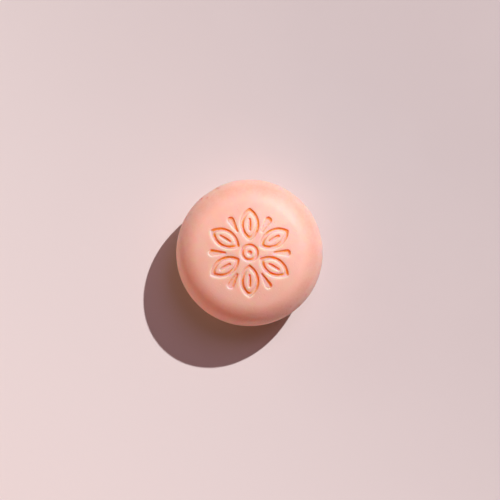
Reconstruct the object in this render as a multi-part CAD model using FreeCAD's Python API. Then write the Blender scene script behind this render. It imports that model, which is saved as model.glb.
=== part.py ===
"""Conditioner bar: one solid, round, pressed bar with a rosette stamped into its top.

Frame: millimetres, +Z up. The origin is the middle of the flat seat that the bar rests on.
The bar's axis is +Z, and one petal of the rosette points along +Y.
"""

import FreeCAD, Part
import math
import os

# Body
DIAMETER = 60.0  # across the widest ring
HEIGHT = 30.5  # from the seat to the middle of the crowned top
CROWN_RADIUS = 90.0  # of the gentle dome that makes the top
SHOULDER_RADIUS = 12.5  # of the round between the dome and the side
SEAT_DIAMETER = 36.0  # of the flat ring of the underside that the bar rests on

# Stamp, common to all its motifs
STAMP_DEPTH = 0.9  # from the dome down to the floor of a groove
WALL_DRAFT = 12.0  # degrees that a groove's wall leans, so that the stamp lifts out
RIM_BEVEL = 0.25  # of the soft edge where a groove meets the dome
PETAL_COUNT = 6

# Petal: an outlined leaf, a groove around an island at the dome's own level
PETAL_GAP = 1.2  # between the groove of the eye's ring and the petal's inner point
PETAL_LENGTH = 13.4
PETAL_WIDTH = 7.8
PETAL_POINT_ROUND = 0.8
PETAL_GROOVE_SIDE = 1.55  # width of the groove along the petal's flanks
PETAL_GROOVE_ROOT = 2.1  # width of the groove at the inner point
PETAL_GROOVE_TIP = 2.3  # width of the groove at the outer point
ISLAND_POINT_ROUND = 0.6

# Vein: a slim leaf sunk into the island
VEIN_GAP = 1.9  # between its points and those of the island
VEIN_WIDTH = 1.3
VEIN_POINT_ROUND = 0.5

# Drop: a tear shape between two petals, its blunt end outwards
DROP_GAP = 1.1  # between its slim end and the flanks of the petals beside it
DROP_LENGTH = 5.2  # between the centres of its two ends
DROP_ROOT_ROUND = 0.5
DROP_TIP_ROUND = 1.4

# Eye: a ring and a dot in the middle
RING_DIAMETER = 6.0  # at the middle of its groove
RING_GROOVE = 1.4
DOT_DIAMETER = 1.9

# A cutting shape starts this far above the dome and ends this far under the groove's floor.
OVERCUT = 0.2
TOUCHING = 0.001  # two points closer than this are the same point

UP = FreeCAD.Vector(0, 0, 1)
ALONG_X = FreeCAD.Vector(1, 0, 0)
ORIGIN = FreeCAD.Vector(0, 0, 0)

shoulder_axis_radius = DIAMETER / 2 - SHOULDER_RADIUS
crown_lean = math.asin(shoulder_axis_radius / (CROWN_RADIUS - SHOULDER_RADIUS))
crown_centre_height = HEIGHT - CROWN_RADIUS
crown_centre = FreeCAD.Vector(0, 0, crown_centre_height)
widest_height = crown_centre_height + (CROWN_RADIUS - SHOULDER_RADIUS) * math.cos(crown_lean)
shoulder_centre = FreeCAD.Vector(shoulder_axis_radius, 0, widest_height)
wall_slope = math.tan(math.radians(WALL_DRAFT))
petal_step = 360 / PETAL_COUNT
petal_middle = (RING_DIAMETER + RING_GROOVE) / 2 + PETAL_GAP + PETAL_LENGTH / 2
island_length = PETAL_LENGTH - PETAL_GROOVE_ROOT - PETAL_GROOVE_TIP
island_width = PETAL_WIDTH - 2 * PETAL_GROOVE_SIDE
vein_length = island_length - 2 * VEIN_GAP


def arc(start, middle, end):
    """Edge of the circle through three points."""
    return Part.Arc(start, middle, end).toShape()


def on_circle(centre, radius, angle):
    """Point on a circle in the plane of the circle's centre, parallel to XY."""
    return centre + FreeCAD.Vector(radius * math.cos(angle), radius * math.sin(angle), 0)


def section_point(radius, height):
    """Point of the bar's section, which lies in the XZ plane."""
    return FreeCAD.Vector(radius, 0, height)


def foot_edge(side):
    """Quarter ellipse from the seat out and up to a point of the side, square to both."""
    seat_edge = section_point(SEAT_DIAMETER / 2, 0)
    corner = section_point(side.x, 0)
    curve = Part.BezierCurve()
    curve.setPoles([seat_edge, corner, side])
    curve.setWeight(2, math.sqrt(0.5))
    return curve.toShape()


def shoulder_point(inset, angle):
    """Point of the shoulder's arc, drawn in by the inset, at an angle over the level."""
    reach = SHOULDER_RADIUS - inset
    return shoulder_centre + section_point(reach * math.cos(angle), reach * math.sin(angle))


def turned_body(inset):
    """The bar up to the line where its dome begins: its section turned round the axis.

    Shoulder and dome keep their centres and lose the inset from their radii.
    """
    side = shoulder_point(inset, 0)
    shoulder_middle = shoulder_point(inset, (math.pi / 2 - crown_lean) / 2)
    crown_edge = shoulder_point(inset, math.pi / 2 - crown_lean)
    top = section_point(0, crown_edge.z)
    seat_edge = section_point(SEAT_DIAMETER / 2, 0)
    section = Part.Wire(
        [
            Part.makeLine(ORIGIN, seat_edge),
            foot_edge(side),
            arc(side, shoulder_middle, crown_edge),
            Part.makeLine(crown_edge, top),
            Part.makeLine(top, ORIGIN),
        ]
    )
    return Part.Face(section).revolve(ORIGIN, UP, 360)


def crown_ball(radius):
    """Ball about the crown's centre, turned so that its seam and poles are far from the top."""
    return Part.makeSphere(radius, crown_centre, -ALONG_X)


def blank(inset=0):
    """The plain bar: the turned body with the dome on it, its top drawn in by the inset."""
    crown_edge_height = shoulder_point(inset, math.pi / 2 - crown_lean).z
    corner = FreeCAD.Vector(-DIAMETER / 2, -DIAMETER / 2, crown_edge_height)
    above_edge = Part.makeBox(DIAMETER, DIAMETER, HEIGHT, corner)
    dome = crown_ball(CROWN_RADIUS - inset).common(above_edge)
    return turned_body(inset).fuse(dome)


def leaf_flank(length, width, point_round):
    """Radius of a leaf's flank arcs, and how far their centres lie beyond its middle line."""
    reach = length / 2 - point_round
    sway = width / 2 - point_round
    inner_radius = (reach**2 + sway**2) / (2 * sway)
    return inner_radius + point_round, inner_radius - sway


def leaf_outline(length, width, point_round, inset, height):
    """Pointed oval along Y about the origin: two flank arcs and two small arcs at its points.

    All four arcs keep their centres and lose the inset from their radii, so the outline
    stays smooth and moves inwards evenly.
    """
    reach = length / 2 - point_round
    flank_radius, flank_offset = leaf_flank(length, width, point_round)
    turn = math.atan2(reach, flank_offset)
    level = UP * height
    right_centre = level + FreeCAD.Vector(-flank_offset, 0, 0)
    left_centre = level + FreeCAD.Vector(flank_offset, 0, 0)
    outer_centre = level + FreeCAD.Vector(0, reach, 0)
    inner_centre = level + FreeCAD.Vector(0, -reach, 0)
    flank = flank_radius - inset
    point = point_round - inset
    right_flank = [on_circle(right_centre, flank, angle) for angle in (-turn, 0, turn)]
    left_flank = [on_circle(left_centre, flank, math.pi + angle) for angle in (-turn, 0, turn)]
    outer_top = on_circle(outer_centre, point, math.pi / 2)
    inner_top = on_circle(inner_centre, point, -math.pi / 2)
    return Part.Wire(
        [
            arc(*right_flank),
            arc(right_flank[2], outer_top, left_flank[0]),
            arc(*left_flank),
            arc(left_flank[2], inner_top, right_flank[0]),
        ]
    )


def drop_outline(inset, height):
    """Tear shape along Y: a slim round end, a blunt round end and the two tangent lines."""
    root_centre = FreeCAD.Vector(0, -DROP_LENGTH / 2, height)
    tip_centre = FreeCAD.Vector(0, DROP_LENGTH / 2, height)
    lean = math.asin((DROP_TIP_ROUND - DROP_ROOT_ROUND) / DROP_LENGTH)
    root_round = DROP_ROOT_ROUND - inset
    tip_round = DROP_TIP_ROUND - inset
    right_root = on_circle(root_centre, root_round, -lean)
    right_tip = on_circle(tip_centre, tip_round, -lean)
    left_root = on_circle(root_centre, root_round, math.pi + lean)
    left_tip = on_circle(tip_centre, tip_round, math.pi + lean)
    return Part.Wire(
        [
            Part.makeLine(right_root, right_tip),
            arc(right_tip, on_circle(tip_centre, tip_round, math.pi / 2), left_tip),
            Part.makeLine(left_tip, left_root),
            arc(left_root, on_circle(root_centre, root_round, -math.pi / 2), right_root),
        ]
    )


def ring_outline(diameter, inset, height):
    """Circle about the origin."""
    circle = Part.Circle(UP * height, UP, diameter / 2 - inset)
    return Part.Wire(circle.toShape())


def dome_sag(half_length):
    """How far the dome falls below its tangent plane at a distance from the touching point."""
    return CROWN_RADIUS - math.sqrt(CROWN_RADIUS**2 - half_length**2)


def drafted(outline, half_length, widens=False):
    """Solid between an outline above the dome and the same outline under the groove's floor.

    outline(inset, height) draws it at a height over the dome's tangent plane. The solid
    narrows downwards as a cutting shape does, or widens as what the cut leaves standing.
    """
    slope = -wall_slope if widens else wall_slope
    bottom = -(STAMP_DEPTH + dome_sag(half_length) + OVERCUT)
    top_wire = outline(-slope * OVERCUT, OVERCUT)
    bottom_wire = outline(-slope * bottom, bottom)
    return Part.makeLoft([top_wire, bottom_wire], True, True)


def petal_cut():
    """Cut of one petal: its outlined groove and its vein, lying along Y about the origin."""
    island_shift = FreeCAD.Vector(0, (PETAL_GROOVE_ROOT - PETAL_GROOVE_TIP) / 2, 0)
    half_length = PETAL_LENGTH / 2

    def petal(inset, height):
        return leaf_outline(PETAL_LENGTH, PETAL_WIDTH, PETAL_POINT_ROUND, inset, height)

    def island(inset, height):
        return leaf_outline(island_length, island_width, ISLAND_POINT_ROUND, inset, height)

    def vein(inset, height):
        return leaf_outline(vein_length, VEIN_WIDTH, VEIN_POINT_ROUND, inset, height)

    island_solid = drafted(island, half_length, widens=True)
    island_solid.translate(island_shift)
    vein_cut = drafted(vein, vein_length / 2)
    vein_cut.translate(island_shift)
    groove = drafted(petal, half_length).cut(island_solid)
    return Part.makeCompound([groove, vein_cut])


def eye_cut():
    """Cut of the ring and the dot in the middle of the rosette."""
    half_length = (RING_DIAMETER + RING_GROOVE) / 2

    def ring_outside(inset, height):
        return ring_outline(RING_DIAMETER + RING_GROOVE, inset, height)

    def ring_inside(inset, height):
        return ring_outline(RING_DIAMETER - RING_GROOVE, inset, height)

    def dot(inset, height):
        return ring_outline(DOT_DIAMETER, inset, height)

    ring_cut = drafted(ring_outside, half_length).cut(
        drafted(ring_inside, half_length, widens=True)
    )
    return Part.makeCompound([ring_cut, drafted(dot, half_length)])


def drop_root_distance():
    """How far from the axis the centre of a drop's slim end comes, clear of both petals.

    The centre lies on the line midway between two petals, and a flank's radius, the gap
    and the end's own round away from the centre of a petal's flank. Where the petals leave
    more room than that everywhere, it lies level with the narrowest place between them.
    """
    flank_radius, flank_offset = leaf_flank(PETAL_LENGTH, PETAL_WIDTH, PETAL_POINT_ROUND)
    clear = flank_radius + DROP_GAP + DROP_ROOT_ROUND
    half_step = math.radians(petal_step / 2)
    along = petal_middle * math.cos(half_step) - flank_offset * math.sin(half_step)
    across = petal_middle * math.sin(half_step) + flank_offset * math.cos(half_step)
    return along + math.sqrt(max(clear**2 - across**2, 0))


def onto_dome(motif, distance, turn):
    """A motif moved from the origin onto the dome, square to it.

    distance is how far from the axis its middle comes, turn the degrees that it lies
    round the axis from +Y.
    """
    placed = motif.copy()
    placed.translate(FreeCAD.Vector(0, 0, HEIGHT))
    placed.rotate(crown_centre, ALONG_X, -math.degrees(math.asin(distance / CROWN_RADIUS)))
    placed.rotate(crown_centre, UP, turn)
    return placed


def rosette_cuts():
    """All cuts of the stamp, each down to a floor that lies evenly under the dome."""
    petal = petal_cut()
    drop = drafted(drop_outline, DROP_LENGTH / 2 + DROP_TIP_ROUND)
    drop_middle = drop_root_distance() + DROP_LENGTH / 2
    cuts = [onto_dome(eye_cut(), 0, 0)]
    for index in range(PETAL_COUNT):
        cuts.append(onto_dome(petal, petal_middle, index * petal_step))
        cuts.append(onto_dome(drop, drop_middle, (index + 0.5) * petal_step))
    core = blank(STAMP_DEPTH)
    return [solid.cut(core) for cut in cuts for solid in cut.Solids]


def is_rim(solid, edge):
    """Whether an edge is where the wall of a groove meets the outside of the bar."""
    faces = solid.ancestorsOfType(edge, Part.Face)
    round_surfaces = (Part.Sphere, Part.Toroid)
    walls = [face for face in faces if not isinstance(face.Surface, round_surfaces)]
    return len(walls) == 1 and all(on_outside(point) for point in edge.discretize(3))


def on_outside(point):
    """Whether a point lies on the dome or on the shoulder."""
    section = section_point(math.hypot(point.x, point.y), point.z)
    off_dome = section.distanceToPoint(crown_centre) - CROWN_RADIUS
    off_shoulder = section.distanceToPoint(shoulder_centre) - SHOULDER_RADIUS
    return min(abs(off_dome), abs(off_shoulder)) < TOUCHING


def conditioner_bar():
    """The whole bar, stamped, with the rims of its grooves softened."""
    stamped = blank().cut(rosette_cuts())
    rims = [edge for edge in stamped.Edges if is_rim(stamped, edge)]
    return stamped.makeChamfer(RIM_BEVEL, rims).Solids[0]


os.makedirs("parts", exist_ok=True)
bar = conditioner_bar()
bar.exportStep("parts/conditioner_bar.step")
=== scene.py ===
"""Looks of a pressed conditioner bar: its stamped body, its waxy finish and its studio."""
import logging
import math
from collections.abc import Callable
from dataclasses import dataclass, field
from enum import Enum

import bpy
from mathutils import Matrix, Vector
from mathutils.bvhtree import BVHTree
from mathutils.kdtree import KDTree


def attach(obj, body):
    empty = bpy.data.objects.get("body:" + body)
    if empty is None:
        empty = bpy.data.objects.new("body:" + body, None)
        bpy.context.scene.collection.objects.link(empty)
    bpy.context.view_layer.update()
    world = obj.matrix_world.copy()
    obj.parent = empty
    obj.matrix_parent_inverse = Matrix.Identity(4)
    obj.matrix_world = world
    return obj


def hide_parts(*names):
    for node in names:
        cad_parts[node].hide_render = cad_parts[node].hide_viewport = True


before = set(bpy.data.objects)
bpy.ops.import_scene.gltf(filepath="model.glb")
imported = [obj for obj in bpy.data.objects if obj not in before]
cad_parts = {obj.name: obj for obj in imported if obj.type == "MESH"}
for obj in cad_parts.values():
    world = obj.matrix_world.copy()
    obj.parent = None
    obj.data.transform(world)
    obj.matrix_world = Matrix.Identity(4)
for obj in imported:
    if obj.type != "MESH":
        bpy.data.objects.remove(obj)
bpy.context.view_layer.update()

BODY = "root"
BAR_NODE = "conditioner_bar"
MM = 0.001
HAIR = 0.002 * MM
UP = (0.0, 0.0, 1.0)
ALONG_Y = (0.0, 1.0, 0.0)
BLOTCH_SPAN = (0.32, 0.68)  # the noise between which a blotch fades in
PINHOLE_SPAN = (0.05, 0.13)  # the shares of a cell between which a pinhole ends

logging.basicConfig(level=logging.INFO, format="%(levelname)s %(message)s")
log = logging.getLogger("conditioner_bar")

Colour = tuple[float, float, float]
PlaceTest = Callable[[Vector], bool]
Span = tuple[float, float]


class Part(Enum):
    """What of a mesh an edit works on."""

    VERTS = "VERT"
    FACES = "FACE"


def deselect_all() -> None:
    """Clears the selection, with no object left in edit mode."""
    if bpy.context.mode != "OBJECT":
        bpy.ops.object.mode_set(mode="OBJECT")
    bpy.ops.object.select_all(action="DESELECT")


def make_active(piece: bpy.types.Object) -> None:
    """Selects one piece alone and makes it active.

    Args:
        piece: The object that the next operators work on.
    """
    deselect_all()
    piece.select_set(True)
    bpy.context.view_layer.objects.active = piece


def apply_modifiers(piece: bpy.types.Object) -> None:
    """Applies every modifier of a piece, in order.

    Args:
        piece: The object that carries them.
    """
    make_active(piece)
    for modifier in list(piece.modifiers):
        bpy.ops.object.modifier_apply(modifier=modifier.name)


def select_where(piece: bpy.types.Object, part: Part, test: PlaceTest) -> int:
    """Selects the elements of a mesh whose place passes a test, and no others.

    The piece has to be active. It is left in edit mode.

    Args:
        piece: The mesh object.
        part: Whether vertices or faces are tested.
        test: Takes a place and says whether to select what lies there.

    Returns:
        How many were selected.
    """
    bpy.ops.object.mode_set(mode="EDIT")
    bpy.ops.mesh.select_mode(type=part.value)
    bpy.ops.mesh.select_all(action="DESELECT")
    bpy.ops.object.mode_set(mode="OBJECT")
    if part is Part.FACES:
        chosen = [face for face in piece.data.polygons if test(face.center)]
    else:
        chosen = [vertex for vertex in piece.data.vertices if test(vertex.co)]
    for element in chosen:
        element.select = True
    bpy.ops.object.mode_set(mode="EDIT")
    return len(chosen)


def heading_vector(heading: float, rise: float = 0.0) -> Vector:
    """The unit direction at a heading round the axis and a rise over the level.

    Args:
        heading: Degrees from +X towards +Y.
        rise: Degrees over the level.

    Returns:
        The direction.
    """
    turn = math.radians(heading)
    lift = math.radians(rise)
    flat = math.cos(lift)
    return Vector((flat * math.cos(turn), flat * math.sin(turn), math.sin(lift)))


@dataclass(frozen=True)
class BarSection:
    """The section of the bar, as it is turned round the axis. Lengths are in metres.

    Attributes:
        diameter: Across the widest ring.
        height: From the seat to the middle of the top.
        crown_radius: Of the dome that makes the top.
        shoulder_radius: Of the round between dome and side.
        seat_diameter: Of the flat ring underneath.
    """

    diameter: float = 60 * MM
    height: float = 30.5 * MM
    crown_radius: float = 90 * MM
    shoulder_radius: float = 12.5 * MM
    seat_diameter: float = 36 * MM

    @property
    def shoulder_axis_radius(self) -> float:
        """How far from the axis the middle of the shoulder's arc lies."""
        return self.diameter / 2 - self.shoulder_radius

    @property
    def crown_centre(self) -> Vector:
        """The middle of the ball that the dome is part of."""
        return Vector((0, 0, self.height - self.crown_radius))

    @property
    def crown_lean(self) -> float:
        """The angle from the axis at which the dome meets the shoulder."""
        return math.asin(self.shoulder_axis_radius / (self.crown_radius - self.shoulder_radius))

    @property
    def crown_reach(self) -> float:
        """How far from the axis the dome meets the shoulder."""
        return self.crown_radius * math.sin(self.crown_lean)

    @property
    def widest_height(self) -> float:
        """The height of the widest ring."""
        rise = (self.crown_radius - self.shoulder_radius) * math.cos(self.crown_lean)
        return self.crown_centre.z + rise

    def on_shoulder(self, heading: float, rise: float) -> Vector:
        """A place on the shoulder.

        Args:
            heading: Degrees round the axis from +X towards +Y.
            rise: Degrees over the level of the line square to the surface there.

        Returns:
            The place.
        """
        middle = self.shoulder_axis_radius * heading_vector(heading)
        middle.z = self.widest_height
        return middle + self.shoulder_radius * heading_vector(heading, rise)


@dataclass(frozen=True)
class Pit:
    """A small dent in the shoulder or the side, as handling leaves.

    Attributes:
        heading: Degrees round the axis from +X towards +Y.
        rise: Degrees over the level of the line square to the surface there.
        reach: How far the dent spreads from its middle, in metres.
        depth: At its middle, in metres.
        stain: How dark it has become at its middle, from 0 to 1.
    """

    heading: float
    rise: float
    reach: float
    depth: float
    stain: float


@dataclass(frozen=True)
class TrimmedFlat:
    """A shallow flat on the side, where the pressing's flash was broken off.

    Attributes:
        heading: Of its middle, in degrees round the axis from +X towards +Y.
        depth: How deep it cuts into the widest ring, in metres.
    """

    heading: float = 123.5
    depth: float = 0.20 * MM


def rim_pits() -> list[Pit]:
    """The dents of the rim.

    A nick of a few dents lies at each end of the trimmed flat, with small pits beside them, and
    more pits are scattered on the side opposite.

    Returns:
        The dents.
    """
    return [
        Pit(heading=117.5, rise=17, reach=1.1 * MM, depth=0.55 * MM, stain=1.0),
        Pit(heading=117.0, rise=12, reach=1.0 * MM, depth=0.40 * MM, stain=0.6),
        Pit(heading=118.0, rise=8, reach=0.8 * MM, depth=0.25 * MM, stain=0.3),
        Pit(heading=116.0, rise=21, reach=0.7 * MM, depth=0.20 * MM, stain=0.3),
        Pit(heading=132.8, rise=14, reach=1.1 * MM, depth=0.55 * MM, stain=1.0),
        Pit(heading=132.1, rise=10, reach=0.9 * MM, depth=0.35 * MM, stain=0.5),
        Pit(heading=133.0, rise=5, reach=1.0 * MM, depth=0.30 * MM, stain=0.3),
        Pit(heading=128.0, rise=30, reach=0.8 * MM, depth=0.22 * MM, stain=0.7),
        Pit(heading=129.6, rise=28, reach=0.5 * MM, depth=0.12 * MM, stain=0.3),
        Pit(heading=147.0, rise=26, reach=0.6 * MM, depth=0.15 * MM, stain=0.5),
        Pit(heading=-31.0, rise=12, reach=0.5 * MM, depth=0.12 * MM, stain=0.5),
        Pit(heading=-37.0, rise=26, reach=0.7 * MM, depth=0.16 * MM, stain=0.6),
        Pit(heading=-38.6, rise=24, reach=0.5 * MM, depth=0.12 * MM, stain=0.3),
        Pit(heading=-44.0, rise=41, reach=0.5 * MM, depth=0.10 * MM, stain=0.5),
        Pit(heading=-47.0, rise=19, reach=0.8 * MM, depth=0.20 * MM, stain=0.7),
        Pit(heading=-48.8, rise=21, reach=0.5 * MM, depth=0.12 * MM, stain=0.4),
        Pit(heading=-53.0, rise=36, reach=0.6 * MM, depth=0.14 * MM, stain=0.4),
        Pit(heading=-59.0, rise=23, reach=0.7 * MM, depth=0.18 * MM, stain=0.6),
        Pit(heading=-62.0, rise=28, reach=0.5 * MM, depth=0.12 * MM, stain=0.4),
    ]


@dataclass
class PressedBar:
    """The bar as a mesh: turned, stamped with the rosette, and marked at its rim.

    Attributes:
        section: The turned section.
        sides: Facets round the axis.
        crown_steps: Rings on the dome.
        shoulder_steps: Rings on the shoulder.
        foot_steps: Rings between the widest ring and the seat.
        seat_steps: Rings on the seat.
        stamp_depth: From the dome to the floor of a groove in the CAD model.
        press_depth: From the dome to the floor of a groove here.
        lip_depth: How much of that is the lip's.
        wall_run: How far a groove's steep wall reaches outwards from its floor.
        lip_run: How far its softly sunk lip reaches outwards from its floor.
        wall_bands: How far past a groove's wall the mesh is made finer, once for each value.
        key_light_heading: Where the key light comes from, in degrees from +X towards +Y. The side
            of each groove towards it gets painted shadow, the side away a painted highlight.
        flat: Where the flash was broken off.
        pits: The dents of the rim.
        pit_bands: Within how many times a dent's reach the mesh is made finer, once for each.
        stain_spread: How many times a dent's reach its stain spreads.
    """

    section: BarSection = field(default_factory=BarSection)
    sides: int = 216
    crown_steps: int = 57
    shoulder_steps: int = 28
    foot_steps: int = 15
    seat_steps: int = 3
    stamp_depth: float = 0.9 * MM
    press_depth: float = 0.75 * MM
    lip_depth: float = 0.1 * MM
    wall_run: float = 0.32 * MM
    lip_run: float = 1.1 * MM
    wall_bands: tuple[float, ...] = (0.4 * MM, 0.1 * MM)
    # The key light's heading, which sets the grooves' painted shadow and highlight.
    key_light_heading: float = 51.0
    flat: TrimmedFlat = field(default_factory=TrimmedFlat)
    pits: list[Pit] = field(default_factory=rim_pits)
    pit_bands: tuple[float, ...] = (2.2, 1.8, 1.3)
    stain_spread: float = 1.5

    def build(self) -> bpy.types.Object:
        """Models the bar.

        Returns:
            The finished mesh object, at the origin, with its place in its mesh.
        """
        bar = self._turn_body()
        stencil = self._lift_stencil()
        floors = GrooveFloors(stencil)
        bpy.data.objects.remove(stencil, do_unlink=True)
        self._refine_walls(bar, floors)
        self._refine_pits(bar)
        self._press(bar, floors)
        self._trim_flat(bar)
        for pit in self.pits:
            self._dent(bar, pit)
        self._stain(bar)
        make_active(bar)
        bpy.ops.object.shade_smooth()
        return bar

    def _turn_body(self) -> bpy.types.Object:
        """Draws the section from the seat's middle to the top's and spins it round the axis.

        Returns:
            The plain body.
        """
        section = self.section
        seat = section.seat_diameter / 2
        reach = section.diameter / 2 - seat
        bpy.ops.mesh.primitive_plane_add(size=section.seat_diameter, location=(0, 0, 0))
        body = bpy.context.active_object
        body.name = "pressed_bar"
        bpy.ops.object.mode_set(mode="EDIT")
        bpy.ops.mesh.select_all(action="SELECT")
        bpy.ops.mesh.merge(type="CENTER")
        for _ in range(self.seat_steps):
            step = (seat / self.seat_steps, 0, 0)
            bpy.ops.mesh.extrude_region_move(TRANSFORM_OT_translate={"value": step})
        self._spin_section(Vector((seat, 0, reach)), math.pi / 2, self.foot_steps)
        select_where(body, Part.VERTS, lambda place: place.x > seat + HAIR)
        bpy.ops.transform.resize(
            value=(1, 1, section.widest_height / reach), center_override=(0, 0, 0)
        )
        side = section.diameter / 2 - HAIR
        select_where(body, Part.VERTS, lambda place: place.x > side)
        shoulder_centre = Vector((section.shoulder_axis_radius, 0, section.widest_height))
        shoulder_angle = math.pi / 2 - section.crown_lean
        self._spin_section(shoulder_centre, shoulder_angle, self.shoulder_steps)
        self._spin_section(section.crown_centre, section.crown_lean, self.crown_steps)
        bpy.ops.mesh.select_all(action="SELECT")
        bpy.ops.mesh.spin(
            steps=self.sides,
            angle=2 * math.pi,
            use_auto_merge=False,
            center=(0, 0, 0),
            axis=UP,
        )
        bpy.ops.mesh.select_all(action="SELECT")
        bpy.ops.mesh.remove_doubles(threshold=HAIR)
        bpy.ops.mesh.normals_make_consistent(inside=False)
        bpy.ops.object.mode_set(mode="OBJECT")
        return body

    def _spin_section(self, centre: Vector, angle: float, steps: int) -> None:
        """Carries the selected end of the section on along an arc, upwards and inwards.

        Args:
            centre: The middle of the arc, in the XZ plane.
            angle: How far the arc turns.
            steps: Its number of edges.
        """
        bpy.ops.mesh.spin(
            steps=steps,
            angle=angle,
            use_auto_merge=False,
            center=tuple(centre),
            axis=ALONG_Y,
        )

    def _lift_stencil(self) -> bpy.types.Object:
        """Copies the floors of the stamped grooves from the CAD node and lifts them to the dome.

        Returns:
            A mesh that lies on the dome wherever the stamp presses to its full depth.
        """
        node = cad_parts[BAR_NODE]
        stencil = bpy.data.objects.new("stamp_floors", node.data.copy())
        bpy.context.collection.objects.link(stencil)
        stencil.data.transform(node.matrix_world)
        centre = self.section.crown_centre
        floor = self.section.crown_radius - self.stamp_depth
        slack = 0.1 * self.stamp_depth

        def off_the_floors(place: Vector) -> bool:
            level = (place - centre).length
            return abs(level - floor) > slack or place.xy.length > self.section.crown_reach

        make_active(stencil)
        bpy.ops.object.mode_set(mode="EDIT")
        bpy.ops.mesh.select_all(action="SELECT")
        bpy.ops.mesh.remove_doubles(threshold=HAIR)
        select_where(stencil, Part.FACES, off_the_floors)
        bpy.ops.mesh.delete(type="FACE")
        bpy.ops.mesh.select_all(action="SELECT")
        lift = self.section.crown_radius / floor
        bpy.ops.transform.resize(value=(lift, lift, lift), center_override=tuple(centre))
        bpy.ops.object.mode_set(mode="OBJECT")
        log.info("stamp floors: %d faces", len(stencil.data.polygons))
        return stencil

    def _refine_walls(self, bar: bpy.types.Object, floors: "GrooveFloors") -> None:
        """Makes the mesh finer along the walls of the grooves.

        Args:
            bar: The plain body.
            floors: The floors of the grooves, lying on the dome.
        """
        for band in self.wall_bands:

            def by_a_wall(place: Vector) -> bool:
                return -band < floors.gap(place) < self.wall_run + band

            make_active(bar)
            count = select_where(bar, Part.FACES, by_a_wall)
            bpy.ops.mesh.subdivide(number_cuts=1, ngon=True)
            bpy.ops.object.mode_set(mode="OBJECT")
            log.info("finer mesh on %d faces by the walls", count)

    def _refine_pits(self, bar: bpy.types.Object) -> None:
        """Makes the mesh finer where the rim is dented.

        Args:
            bar: The plain body.
        """
        dents = [(self._middle(pit), pit.reach) for pit in self.pits]
        for band in self.pit_bands:

            def by_a_dent(place: Vector) -> bool:
                return any((place - middle).length < band * reach for middle, reach in dents)

            make_active(bar)
            count = select_where(bar, Part.FACES, by_a_dent)
            bpy.ops.mesh.subdivide(number_cuts=1, ngon=True, smoothness=1.0)
            bpy.ops.object.mode_set(mode="OBJECT")
            log.info("finer mesh on %d faces by the dents", count)

    def _middle(self, pit: Pit) -> Vector:
        """The place of a dent's middle before it is pushed in."""
        return self.section.on_shoulder(pit.heading, pit.rise)

    def _press(self, bar: bpy.types.Object, floors: "GrooveFloors") -> None:
        """Presses the grooves into the bar, with steep walls and softly sunk lips.

        Two attributes stay on the mesh for the finish: "groove_gap", how far each vertex was
        from the grooves, in metres and negative on a floor, and "groove_shadow_side", from 1 by a
        wall towards the key light down to -1 by a wall opposite. The finish paints shadow by the
        first kind of wall and a highlight by the second.

        Args:
            bar: The plain body.
            floors: The floors of the grooves, lying on the dome.
        """
        gaps = [floors.gap(vertex.co) for vertex in bar.data.vertices]
        # Painted shade: which side of each groove lies towards the key light, so the finish can
        # paint shadow there and a highlight opposite.
        to_key_light = heading_vector(self.key_light_heading)
        sides = [
            floors.outwards(vertex.co, gap).dot(to_key_light) if gap < floors.REACH else 0.0
            for vertex, gap in zip(bar.data.vertices, gaps)
        ]
        for name, values in (("groove_gap", gaps), ("groove_shadow_side", sides)):
            noted = bar.data.attributes.new(name, "FLOAT", "POINT")
            noted.data.foreach_set("value", values)
        stamped = bar.vertex_groups.new(name="stamped")
        for index, gap in enumerate(gaps):
            if gap < self.lip_run:
                stamped.add([index], self._pressed_share(gap), "REPLACE")
        press = bar.modifiers.new("stamp_press", "DISPLACE")
        press.direction = "NORMAL"
        press.vertex_group = stamped.name
        press.mid_level = 0.0
        press.strength = -self.press_depth
        apply_modifiers(bar)
        bar.vertex_groups.clear()

    def _pressed_share(self, gap: float) -> float:
        """How much of the full depth a place is pressed to.

        Args:
            gap: How far it is from the grooves, negative on a floor.

        Returns:
            The share: 1 on a floor, and 0 where the lip ends.
        """
        if gap <= 0:
            return 1.0
        lip = self.lip_depth / self.press_depth * (1 - gap / self.lip_run) ** 2
        down_the_wall = max(0.0, 1 - gap / self.wall_run)
        wall = down_the_wall * down_the_wall * (3 - 2 * down_the_wall)
        return lip + (1 - lip) * wall

    def _trim_flat(self, bar: bpy.types.Object) -> None:
        """Flattens the side where the flash was broken off.

        Args:
            bar: The pressed bar.
        """
        outwards = heading_vector(self.flat.heading)
        level = self.section.diameter / 2 - self.flat.depth
        make_active(bar)
        select_where(bar, Part.VERTS, lambda place: place.dot(outwards) > level)
        bpy.ops.transform.resize(
            value=(0, 1, 1),
            orient_matrix=Matrix.Rotation(math.radians(self.flat.heading), 3, "Z"),
            orient_matrix_type="GLOBAL",
            constraint_axis=(True, False, False),
            center_override=tuple(outwards * level),
        )
        bpy.ops.object.mode_set(mode="OBJECT")

    def _dent(self, bar: bpy.types.Object, pit: Pit) -> None:
        """Pushes one dent in.

        Args:
            bar: The pressed bar.
            pit: Where, how wide and how deep.
        """
        middle = self._middle(pit)
        vertices = bar.data.vertices
        nearest = min(vertices, key=lambda vertex: (vertex.co - middle).length_squared)
        place = nearest.co.copy()
        make_active(bar)
        select_where(bar, Part.VERTS, lambda other: (other - place).length < HAIR)
        bpy.ops.transform.translate(
            value=tuple(-pit.depth * heading_vector(pit.heading, pit.rise)),
            use_proportional_edit=True,
            proportional_edit_falloff="SMOOTH",
            proportional_size=pit.reach,
        )
        bpy.ops.object.mode_set(mode="OBJECT")

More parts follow.
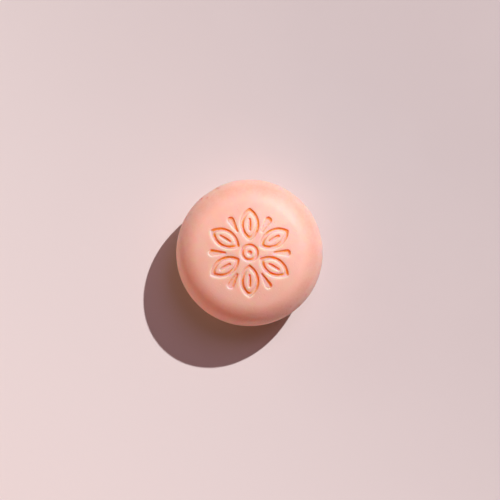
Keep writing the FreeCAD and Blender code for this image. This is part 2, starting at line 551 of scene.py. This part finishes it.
    def _stain(self, bar: bpy.types.Object) -> None:
        """Notes how stained each vertex is by the dents, as the attribute "rim_stain".

        Args:
            bar: The dented bar.
        """
        dents = [(self._middle(pit), self.stain_spread * pit.reach, pit.stain) for pit in self.pits]
        stains = []
        for vertex in bar.data.vertices:
            shares = [
                stain * max(0.0, 1 - (vertex.co - middle).length / spread)
                for middle, spread, stain in dents
            ]
            stains.append(max(shares))
        noted = bar.data.attributes.new("rim_stain", "FLOAT", "POINT")
        noted.data.foreach_set("value", stains)


class GrooveFloors:
    """The floors of the grooves on the unpressed dome, for telling how near a place is.

    Attributes:
        REACH: How far from a floor a place is still measured.
        SPACING: How far apart the points that stand for the floors' outlines are at most.
        CLOSE: How near to a floor a place counts as on it.
    """

    REACH = 1.5 * MM
    SPACING = 0.1 * MM
    CLOSE = 0.02 * MM

    def __init__(self, sheet: bpy.types.Object) -> None:
        """Takes the floors from a mesh.

        Args:
            sheet: The mesh object, whose open edges are the outlines of the floors.
        """
        corners = [vertex.co for vertex in sheet.data.vertices]
        faces = [tuple(face.vertices) for face in sheet.data.polygons]
        self._faces = BVHTree.FromPolygons(corners, faces)
        uses: dict[tuple[int, int], int] = {}
        for face in sheet.data.polygons:
            for key in face.edge_keys:
                uses[key] = uses.get(key, 0) + 1
        points = []
        for (first, last), count in uses.items():
            if count == 1:
                points += self._along(corners[first], corners[last])
        self._outline = KDTree(len(points))
        for index, point in enumerate(points):
            self._outline.insert(point, index)
        self._outline.balance()

    def _along(self, start: Vector, end: Vector) -> list[Vector]:
        """Points along an edge.

        Args:
            start: The edge's first end.
            end: Its last end.

        Returns:
            The points, no further apart than the spacing.
        """
        parts = max(1, math.ceil((end - start).length / self.SPACING))
        return [start.lerp(end, part / parts) for part in range(parts + 1)]

    def gap(self, place: Vector) -> float:
        """How far a place on the dome is from the grooves.

        Args:
            place: The place.

        Returns:
            The distance in metres, at most the reach, and negative on a floor, where it is
            the distance to the floor's outline.
        """
        off_floor = self._faces.find_nearest(place, self.REACH)[3]
        if off_floor is None:
            return self.REACH
        if off_floor < self.CLOSE:
            return -self._outline.find(place)[2]
        return off_floor

    def outwards(self, place: Vector, gap: float) -> Vector:
        """Which way the nearest wall of a groove faces away from its floor.

        Args:
            place: The place on the dome.
            gap: Its distance from the grooves, negative on a floor.

        Returns:
            The level unit direction from the floor out through the wall.
        """
        step = self._outline.find(place)[0] - place
        if gap > 0:
            step.negate()
        step.z = 0.0
        return step.normalized()


class NodeBench:
    """Puts shader nodes into a tree and joins them."""

    def __init__(self, tree: bpy.types.NodeTree) -> None:
        """Starts on a tree.

        Args:
            tree: The tree of a material or of a node group.
        """
        self.tree = tree

    def add(self, kind: str, settings: dict | None = None, **sockets: object) -> bpy.types.Node:
        """Adds a node.

        Args:
            kind: Its type, without the leading ShaderNode.
            settings: Properties of the node itself.
            sockets: Inputs by name, with an underscore for each space. Each is a number or
                colour, or an output socket to join.

        Returns:
            The node.
        """
        node = self.tree.nodes.new("ShaderNode" + kind)
        for name, value in (settings or {}).items():
            setattr(node, name, value)
        for name, value in sockets.items():
            self.put(node, name.replace("_", " "), value)
        return node

    def put(self, node: bpy.types.Node, name: str, value: object) -> None:
        """Sets or joins one input of a node.

        Args:
            node: The node.
            name: The input's name.
            value: A number or colour, or an output socket.
        """
        socket = next(item for item in node.inputs if item.name == name and item.enabled)
        if isinstance(value, bpy.types.NodeSocket):
            self.tree.links.new(value, socket)
        elif isinstance(value, tuple) and len(value) == 3 and socket.type == "RGBA":
            socket.default_value = (*value, 1.0)
        else:
            socket.default_value = value

    def mix(self, share: object, first: object, second: object) -> bpy.types.NodeSocket:
        """Mixes two colours.

        Args:
            share: How much of the second, from 0 to 1.
            first: The first colour.
            second: The second colour.

        Returns:
            The mixed colour.
        """
        node = self.add("Mix", {"data_type": "RGBA"}, Factor=share, A=first, B=second)
        return next(item for item in node.outputs if item.enabled)

    def times(self, first: object, second: object) -> bpy.types.NodeSocket:
        """Multiplies two values.

        Args:
            first: The first value.
            second: The second value.

        Returns:
            Their product.
        """
        node = self.add("Math", {"operation": "MULTIPLY"})
        for place, value in enumerate((first, second)):
            self.tree.links.new(value, node.inputs[place])
        return node.outputs["Value"]

    def ramp(
        self, value: object, low: float, high: float, start: float = 0.0, end: float = 1.0
    ) -> bpy.types.NodeSocket:
        """Carries a value smoothly from one range to another.

        Args:
            value: What is measured.
            low: Where the change begins.
            high: Where it ends.
            start: What comes out up to low.
            end: What comes out from high on.

        Returns:
            The carried value.
        """
        limits = {"From_Min": low, "From_Max": high, "To_Min": start, "To_Max": end}
        node = self.add("MapRange", {"interpolation_type": "SMOOTHSTEP"}, Value=value, **limits)
        return node.outputs["Result"]


def blotch_group() -> bpy.types.NodeTree:
    """Makes the node group for soft blotches, which several finishes share.

    Returns:
        A group that turns a place into a share from 0 to 1.
    """
    group = bpy.data.node_groups.new("soft_blotches", "ShaderNodeTree")
    group.interface.new_socket("Place", in_out="INPUT", socket_type="NodeSocketVector")
    group.interface.new_socket("Scale", in_out="INPUT", socket_type="NodeSocketFloat")
    group.interface.new_socket("Share", in_out="OUTPUT", socket_type="NodeSocketFloat")
    bench = NodeBench(group)
    start = bench.tree.nodes.new("NodeGroupInput")
    end = bench.tree.nodes.new("NodeGroupOutput")
    noise = bench.add(
        "TexNoise",
        Vector=start.outputs["Place"],
        Scale=start.outputs["Scale"],
        Detail=3.0,
        Roughness=0.55,
    )
    share = bench.ramp(noise.outputs["Fac"], *BLOTCH_SPAN)
    group.links.new(share, end.inputs["Share"])
    return group


def grain_group() -> bpy.types.NodeTree:
    """Makes the node group for fine grain with scattered pinholes, which several finishes share.

    Returns:
        A group that turns a place into a height.
    """
    group = bpy.data.node_groups.new("fine_grain", "ShaderNodeTree")
    group.interface.new_socket("Place", in_out="INPUT", socket_type="NodeSocketVector")
    group.interface.new_socket("Grain Scale", in_out="INPUT", socket_type="NodeSocketFloat")
    group.interface.new_socket("Pinhole Scale", in_out="INPUT", socket_type="NodeSocketFloat")
    group.interface.new_socket("Height", in_out="OUTPUT", socket_type="NodeSocketFloat")
    bench = NodeBench(group)
    start = bench.tree.nodes.new("NodeGroupInput")
    end = bench.tree.nodes.new("NodeGroupOutput")
    noise = bench.add(
        "TexNoise",
        Vector=start.outputs["Place"],
        Scale=start.outputs["Grain Scale"],
        Detail=4.0,
        Roughness=0.6,
    )
    cells = bench.add(
        "TexVoronoi",
        Vector=start.outputs["Place"],
        Scale=start.outputs["Pinhole Scale"],
        Randomness=1.0,
    )
    holes = bench.ramp(cells.outputs["Distance"], *PINHOLE_SPAN, 1.0, 0.0)
    height = bench.add("Math", {"operation": "SUBTRACT"})
    group.links.new(noise.outputs["Fac"], height.inputs[0])
    group.links.new(holes, height.inputs[1])
    group.links.new(height.outputs["Value"], end.inputs["Height"])
    return group


@dataclass(frozen=True)
class WaxFinish:
    """The waxy, slightly translucent finish of the bar. Colours are linear.

    Attributes:
        face_colour: Of the stamped face and the seat.
        side_colour: Of the shoulder and the foot, a shade deeper than the face.
        rim_colour: Of the side round the widest ring.
        bloom_and_highlight_colour: Of the palest blotches, and of the painted highlight on the
            lips of the grooves on the side lit by the key light.
        shadow_stroke_colour: Of the painted shadow by the grooves' walls towards the key light,
            an orange stand-in for shaded wax, and of a faint line by the walls opposite.
        worn_colour: Of the grains and dents that have darkened on the shoulder and side.
        blotch: How strongly the blotches show.
        lip_highlight: How strongly the painted highlight pales the lit lips of the grooves.
        faint_stroke: How much of the stroke's colour the walls opposite have.
        stroke_floor: How much of it is left where a stroke fades.
        face_grain: How strongly the grains show on the stamped face and the seat.
        side_grain: How strongly they show on the shoulder, the side and the foot.
        roughness: Of the dry pressed skin.
        roughness_swing: How much rougher or smoother it is where the blotches change.
        ior: How strongly light bends at the skin.
        scatter_radius: How far red, green and blue light travel inside, in metres.
        grain_depth: Of the fine grain, in metres.
        shoulder_span: How far from the axis the face's colour ends and the shoulder's begins.
        rim_span: How far from the axis the shoulder's colour ends and the rim's begins.
        lip_span: How far from a groove's floor the painted highlight starts to fade and ends.
        outer_span: How far outside a groove's floor a stroke starts to fade and ends.
        inner_span: How far inside it a stroke ends and is full, as gaps below zero.
        highlight_side: The values of "groove_shadow_side" where the painted highlight is full
            and where it ends.
        stroke_side: The values of it where a stroke is faint and where it is full.
        streak_span: The blotches' shares between which a stroke fades.
        sunk_span: The grain's heights between which a grain darkens.
        blotch_scale: How many blotches lie along a metre, about.
        streak_scale: The same for the strokes' fading.
        patchy_scale: The same for the patches where grains show.
        grain_scale: The same for the grains.
        pinhole_scale: The same for the pinholes.
    """

    face_colour: Colour = (0.97, 0.558, 0.447)
    side_colour: Colour = (0.785, 0.44, 0.340)
    rim_colour: Colour = (0.80, 0.480, 0.400)
    # Pale colour of the blotches, and of the painted highlight on the grooves' lit lips.
    bloom_and_highlight_colour: Colour = (0.93, 0.67, 0.63)
    # Painted shadow: orange for the shade by the grooves' walls towards the key light.
    shadow_stroke_colour: Colour = (1.0, 0.37, 0.02)
    worn_colour: Colour = (0.76, 0.30, 0.20)
    blotch: float = 0.16
    lip_highlight: float = 0.5
    faint_stroke: float = 0.06
    stroke_floor: float = 0.65
    face_grain: float = 0.04
    side_grain: float = 0.38
    roughness: float = 0.5
    roughness_swing: float = 0.05
    ior: float = 1.55
    scatter_radius: Colour = (10.0 * MM, 2.8 * MM, 1.0 * MM)
    grain_depth: float = 0.07 * MM
    shoulder_span: Span = (21 * MM, 27.5 * MM)
    rim_span: Span = (27.4 * MM, 28.8 * MM)
    lip_span: Span = (0.5 * MM, 1.4 * MM)
    outer_span: Span = (0.15 * MM, 0.4 * MM)
    inner_span: Span = (-0.9 * MM, -0.5 * MM)
    highlight_side: Span = (-0.6, 0.2)
    stroke_side: Span = (-0.1, 0.5)
    streak_span: Span = (0.0, 0.5)
    sunk_span: Span = (0.3, 0.7)
    blotch_scale: float = 130.0
    streak_scale: float = 240.0
    patchy_scale: float = 900.0
    grain_scale: float = 1900.0
    pinhole_scale: float = 420.0

    def material(
        self, blotches: bpy.types.NodeTree, grain: bpy.types.NodeTree
    ) -> bpy.types.Material:
        """Builds the material.

        Args:
            blotches: The shared group for soft blotches.
            grain: The shared group for fine grain.

        Returns:
            The material, reading Object coordinates and the mesh's own attributes.
        """
        material = bpy.data.materials.new("pressed_wax")
        material.use_nodes = True
        bench = NodeBench(material.node_tree)
        shader = material.node_tree.nodes["Principled BSDF"]
        place = bench.add("TexCoord").outputs["Object"]
        reach = self._reach(bench, place)
        side = bench.ramp(reach, *self.shoulder_span)
        patches = self._blotches(bench, blotches, place, self.blotch_scale)
        streaks = self._blotches(bench, blotches, place, self.streak_scale)
        patchy = self._blotches(bench, blotches, place, self.patchy_scale)
        height = bench.add(
            "Group",
            {"node_tree": grain},
            Place=place,
            Grain_Scale=self.grain_scale,
            Pinhole_Scale=self.pinhole_scale,
        ).outputs["Height"]
        colour = bench.mix(side, self.face_colour, self.side_colour)
        colour = bench.mix(bench.ramp(reach, *self.rim_span), colour, self.rim_colour)
        mottle = bench.ramp(patches, 0.0, 1.0, 0.0, self.blotch)
        colour = bench.mix(mottle, colour, self.bloom_and_highlight_colour)
        colour = self._grooves(bench, colour, streaks)
        sunk = bench.ramp(height, *self.sunk_span, 1.0, 0.0)
        shown = bench.ramp(side, 0.0, 1.0, self.face_grain, self.side_grain)
        grains = bench.times(bench.times(sunk, patchy), shown)
        colour = bench.mix(grains, colour, self.worn_colour)
        colour = bench.mix(self._noted(bench, "rim_stain"), colour, self.worn_colour)
        smoothest = self.roughness - self.roughness_swing
        roughest = self.roughness + self.roughness_swing
        bump = bench.add("Bump", Height=height, Distance=self.grain_depth)
        bench.put(shader, "Base Color", colour)
        bench.put(shader, "Roughness", bench.ramp(patches, 0.0, 1.0, smoothest, roughest))
        bench.put(shader, "Normal", bump.outputs["Normal"])
        shader.inputs["IOR"].default_value = self.ior
        shader.inputs["Subsurface Weight"].default_value = 1.0
        shader.inputs["Subsurface Radius"].default_value = self.scatter_radius
        shader.inputs["Subsurface Scale"].default_value = 1.0
        return material

    def _grooves(
        self, bench: NodeBench, colour: bpy.types.NodeSocket, streaks: bpy.types.NodeSocket
    ) -> bpy.types.NodeSocket:
        """Paints light and shade into the grooves: a highlight on the lips and floor lit by the key
        light, and orange shadow by the walls towards it, faint by the walls opposite.

        Args:
            bench: The material's nodes.
            colour: The colour of the wax so far.
            streaks: A share that changes over the surface, for where the strokes fade.

        Returns:
            The colour with the grooves' painted highlight and shadow.
        """
        gap = self._noted(bench, "groove_gap")
        shadow_side = self._noted(bench, "groove_shadow_side")
        # Painted highlight: the lips and floor on the side of each groove lit by the key light are
        # paled.
        lip = bench.ramp(gap, *self.lip_span, 1.0, 0.0)
        lit_side = bench.ramp(shadow_side, *self.highlight_side, self.lip_highlight, 0.0)
        colour = bench.mix(bench.times(lip, lit_side), colour, self.bloom_and_highlight_colour)
        # Painted shadow: orange over the wall towards the key light and the floor beside it, where
        # its shade falls; a faint line by the other walls.
        outer = bench.ramp(gap, *self.outer_span, 1.0, 0.0)
        inner = bench.ramp(gap, *self.inner_span)
        shade_share = bench.ramp(shadow_side, *self.stroke_side, self.faint_stroke, 1.0)
        fading = bench.ramp(streaks, *self.streak_span, self.stroke_floor, 1.0)
        stroke = bench.times(bench.times(outer, inner), bench.times(shade_share, fading))
        return bench.mix(stroke, colour, self.shadow_stroke_colour)

    def _blotches(
        self,
        bench: NodeBench,
        blotches: bpy.types.NodeTree,
        place: bpy.types.NodeSocket,
        scale: float,
    ) -> bpy.types.NodeSocket:
        """Puts the group for soft blotches in.

        Args:
            bench: The material's nodes.
            blotches: The shared group.
            place: The Object coordinates.
            scale: How many blotches lie along a metre, about.

        Returns:
            The share.
        """
        node = bench.add("Group", {"node_tree": blotches}, Place=place, Scale=scale)
        return node.outputs["Share"]

    def _noted(self, bench: NodeBench, name: str) -> bpy.types.NodeSocket:
        """Reads one of the mesh's own attributes.

        Args:
            bench: The material's nodes.
            name: The attribute's name.

        Returns:
            Its value.
        """
        return bench.add("Attribute", {"attribute_name": name}).outputs["Fac"]

    def _reach(self, bench: NodeBench, place: bpy.types.NodeSocket) -> bpy.types.NodeSocket:
        """Measures how far a place lies from the bar's axis.

        Args:
            bench: The material's nodes.
            place: The Object coordinates.

        Returns:
            The distance, in metres.
        """
        flat = bench.add("VectorMath", {"operation": "MULTIPLY"})
        bench.tree.links.new(place, flat.inputs[0])
        flat.inputs[1].default_value = (1, 1, 0)
        reach = bench.add("VectorMath", {"operation": "LENGTH"})
        bench.tree.links.new(flat.outputs["Vector"], reach.inputs[0])
        return reach.outputs["Value"]


@dataclass(frozen=True)
class TableFinish:
    """The smooth, pale painted table top. Colours are linear.

    Attributes:
        lit_colour: At the palest corner, where the painted light is brightest.
        dim_colour: At the corner opposite, where the painted light has faded.
        span: How far apart the two are taken to lie, in metres.
        heading: Of the painted light's brightest corner, in degrees from +X towards +Y.
        blotch: How strongly faint blotches show.
        blotch_scale: How many of them lie along a metre, about.
        grain_scale: The same for the paint's grain.
        pinhole_scale: The same for its pinholes.
        grain_depth: Of the grain, in metres.
        roughness: Of the paint.
        shine: How much the paint mirrors, where a half is usual.
    """

    lit_colour: Colour = (0.765, 0.700, 0.690)
    dim_colour: Colour = (0.63, 0.565, 0.555)
    span: float = 280 * MM
    heading: float = 225.0
    blotch: float = 0.06
    blotch_scale: float = 18.0
    grain_scale: float = 1500.0
    pinhole_scale: float = 90.0
    grain_depth: float = 0.01 * MM
    roughness: float = 0.85
    shine: float = 0.1

    def material(
        self, blotches: bpy.types.NodeTree, grain: bpy.types.NodeTree
    ) -> bpy.types.Material:
        """Builds the material.

        Args:
            blotches: The shared group for soft blotches.
            grain: The shared group for fine grain.

        Returns:
            The material, reading Object coordinates.
        """
        material = bpy.data.materials.new("painted_table")
        material.use_nodes = True
        bench = NodeBench(material.node_tree)
        shader = material.node_tree.nodes["Principled BSDF"]
        place = bench.add("TexCoord").outputs["Object"]
        # Painted light: the top grows paler towards one corner, a pool of light painted into its
        # colour.
        along = bench.add("VectorMath", {"operation": "DOT_PRODUCT"})
        bench.tree.links.new(place, along.inputs[0])
        along.inputs[1].default_value = tuple(heading_vector(self.heading))
        share = bench.ramp(along.outputs["Value"], -self.span / 2, self.span / 2)
        colour = bench.mix(share, self.dim_colour, self.lit_colour)
        patches = bench.add("Group", {"node_tree": blotches}, Place=place, Scale=self.blotch_scale)
        faint = bench.ramp(patches.outputs["Share"], 0.0, 1.0, 0.0, self.blotch)
        colour = bench.mix(faint, colour, self.lit_colour)
        speckle = bench.add(
            "Group",
            {"node_tree": grain},
            Place=place,
            Grain_Scale=self.grain_scale,
            Pinhole_Scale=self.pinhole_scale,
        )
        bump = bench.add("Bump", Height=speckle.outputs["Height"], Distance=self.grain_depth)
        bench.put(shader, "Base Color", colour)
        bench.put(shader, "Normal", bump.outputs["Normal"])
        shader.inputs["Roughness"].default_value = self.roughness
        shader.inputs["Specular IOR Level"].default_value = self.shine
        return material


@dataclass(frozen=True)
class SoftLamp:
    """An upright panel of soft light, turned to the bar.

    Attributes:
        name: What it is called.
        colour: Of its light, linear.
        power: In watts.
        rise: Over the table, in degrees.
        heading: Where it stands, in degrees from +X towards +Y.
        distance: How far from the bar it stands.
        width: Across the panel.
        height: Up the panel.
    """

    name: str
    colour: Colour
    power: float
    rise: float
    heading: float
    distance: float
    width: float
    height: float


def soft_lamps() -> list[SoftLamp]:
    """The soft lamps: a box high on the key's side, and two low cards round the shaded side.

    The warm card stands for the light that a rosy set throws back into the shade.

    Returns:
        The lamps.
    """
    return [
        SoftLamp("soft_box", (1.0, 0.60, 0.85), 1.8, 62.0, 58.0, 1.1, 0.5, 0.5),
        SoftLamp("pale_card", (0.95, 0.97, 0.80), 0.48, 16.0, 150.0, 0.6, 0.35, 0.35),
        SoftLamp("warm_card", (1.0, 0.42, 0.23), 1.80, 12.0, 227.0, 0.6, 1.0, 0.35),
    ]


@dataclass
class Studio:
    """The table top, the lights and the camera. Colours are linear.

    Attributes:
        table_size: Across the table top.
        fill_colour: Of the light from all round.
        key_strength: Of the hard key light.
        key_colour: Of its light.
        key_rise: Of the key light over the table, in degrees.
        key_heading: Where the key light comes from, in degrees from +X towards +Y.
        key_width: The key light's apparent width, in degrees.
        soft: The soft lamps.
        view_width: What the camera's frame spans at the widest ring.
        camera_place: Where the camera hangs.
    """

    table_size: float = 6.0
    fill_colour: Colour = (0.006, 0.006, 0.006)
    key_strength: float = 3.7
    key_colour: Colour = (1.03, 1.0, 1.0)
    key_rise: float = 42.3
    key_heading: float = 50.8
    key_width: float = 0.8
    soft: list[SoftLamp] = field(default_factory=soft_lamps)
    view_width: float = 204.8 * MM
    camera_place: tuple[float, float, float] = (0.2 * MM, 1.17 * MM, 2.0)

    def build(self, section: BarSection, table_material: bpy.types.Material) -> None:
        """Sets everything up.

        Args:
            section: The bar's section, for the height at which the frame's width is meant.
            table_material: The finish of the table top.
        """
        self._table(table_material)
        self._key()
        for lamp in self.soft:
            self._panel(lamp)
        self._fill()
        self._camera(section)

    def _table(self, material: bpy.types.Material) -> None:
        """Lays the table top under the bar.

        Args:
            material: Its finish.
        """
        bpy.ops.mesh.primitive_plane_add(size=self.table_size, location=(0, 0, 0))
        table = bpy.context.active_object
        table.name = "table_top"
        table.data.materials.append(material)

    def _hang(self, lamp: bpy.types.Light, towards: Vector, distance: float) -> None:
        """Hangs a lamp so that it shines on the bar.

        Args:
            lamp: The light.
            towards: The direction from the bar to the lamp.
            distance: How far away it hangs.
        """
        holder = bpy.data.objects.new(lamp.name, lamp)
        bpy.context.collection.objects.link(holder)
        holder.location = towards * distance
        holder.rotation_euler = towards.to_track_quat("Z", "Y").to_euler()

    def _key(self) -> None:
        """Hangs the hard key light."""
        lamp = bpy.data.lights.new("key", "SUN")
        lamp.energy = self.key_strength
        lamp.color = self.key_colour
        lamp.angle = math.radians(self.key_width)
        self._hang(lamp, heading_vector(self.key_heading, self.key_rise), distance=1.0)

    def _panel(self, panel: SoftLamp) -> None:
        """Hangs one soft lamp.

        Args:
            panel: The lamp's place, size and light.
        """
        lamp = bpy.data.lights.new(panel.name, "AREA")
        lamp.energy = panel.power
        lamp.color = panel.colour
        lamp.shape = "RECTANGLE"
        lamp.size = panel.width
        lamp.size_y = panel.height
        self._hang(lamp, heading_vector(panel.heading, panel.rise), panel.distance)

    def _fill(self) -> None:
        """Gives the light from all round its colour."""
        world = bpy.data.worlds.new("fill")
        world.use_nodes = True
        background = world.node_tree.nodes["Background"]
        background.inputs["Color"].default_value = (*self.fill_colour, 1)
        background.inputs["Strength"].default_value = 1.0
        bpy.context.scene.world = world

    def _camera(self, section: BarSection) -> None:
        """Hangs the camera over the bar, looking straight down.

        Args:
            section: Gives the height at which the frame's width is meant.
        """
        lens = bpy.data.cameras.new("camera")
        distance = self.camera_place[2] - section.widest_height
        lens.lens = lens.sensor_width * distance / self.view_width
        lens.clip_start = 0.01
        camera = bpy.data.objects.new("camera", lens)
        camera.location = self.camera_place
        bpy.context.collection.objects.link(camera)
        bpy.context.scene.camera = camera


def dress(bar: bpy.types.Object, material: bpy.types.Material) -> None:
    """Gives the bar its finish and says what it stands for.

    Args:
        bar: The finished mesh object.
        material: Its finish.
    """
    bar.data.materials.clear()
    bar.data.materials.append(material)
    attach(bar, BODY)
    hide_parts(BAR_NODE)
    triangles = sum(len(face.vertices) - 2 for face in bar.data.polygons)
    log.info("%s: %d triangles", bar.name, triangles)


def main() -> None:
    """Builds the bar and the studio, and reports the piece."""
    deselect_all()
    maker = PressedBar()
    blotches = blotch_group()
    grain = grain_group()
    bar = maker.build()
    dress(bar, WaxFinish().material(blotches, grain))
    Studio().build(maker.section, TableFinish().material(blotches, grain))
    bpy.context.scene.view_settings.view_transform = "Standard"


if __name__ == "__main__":
    main()
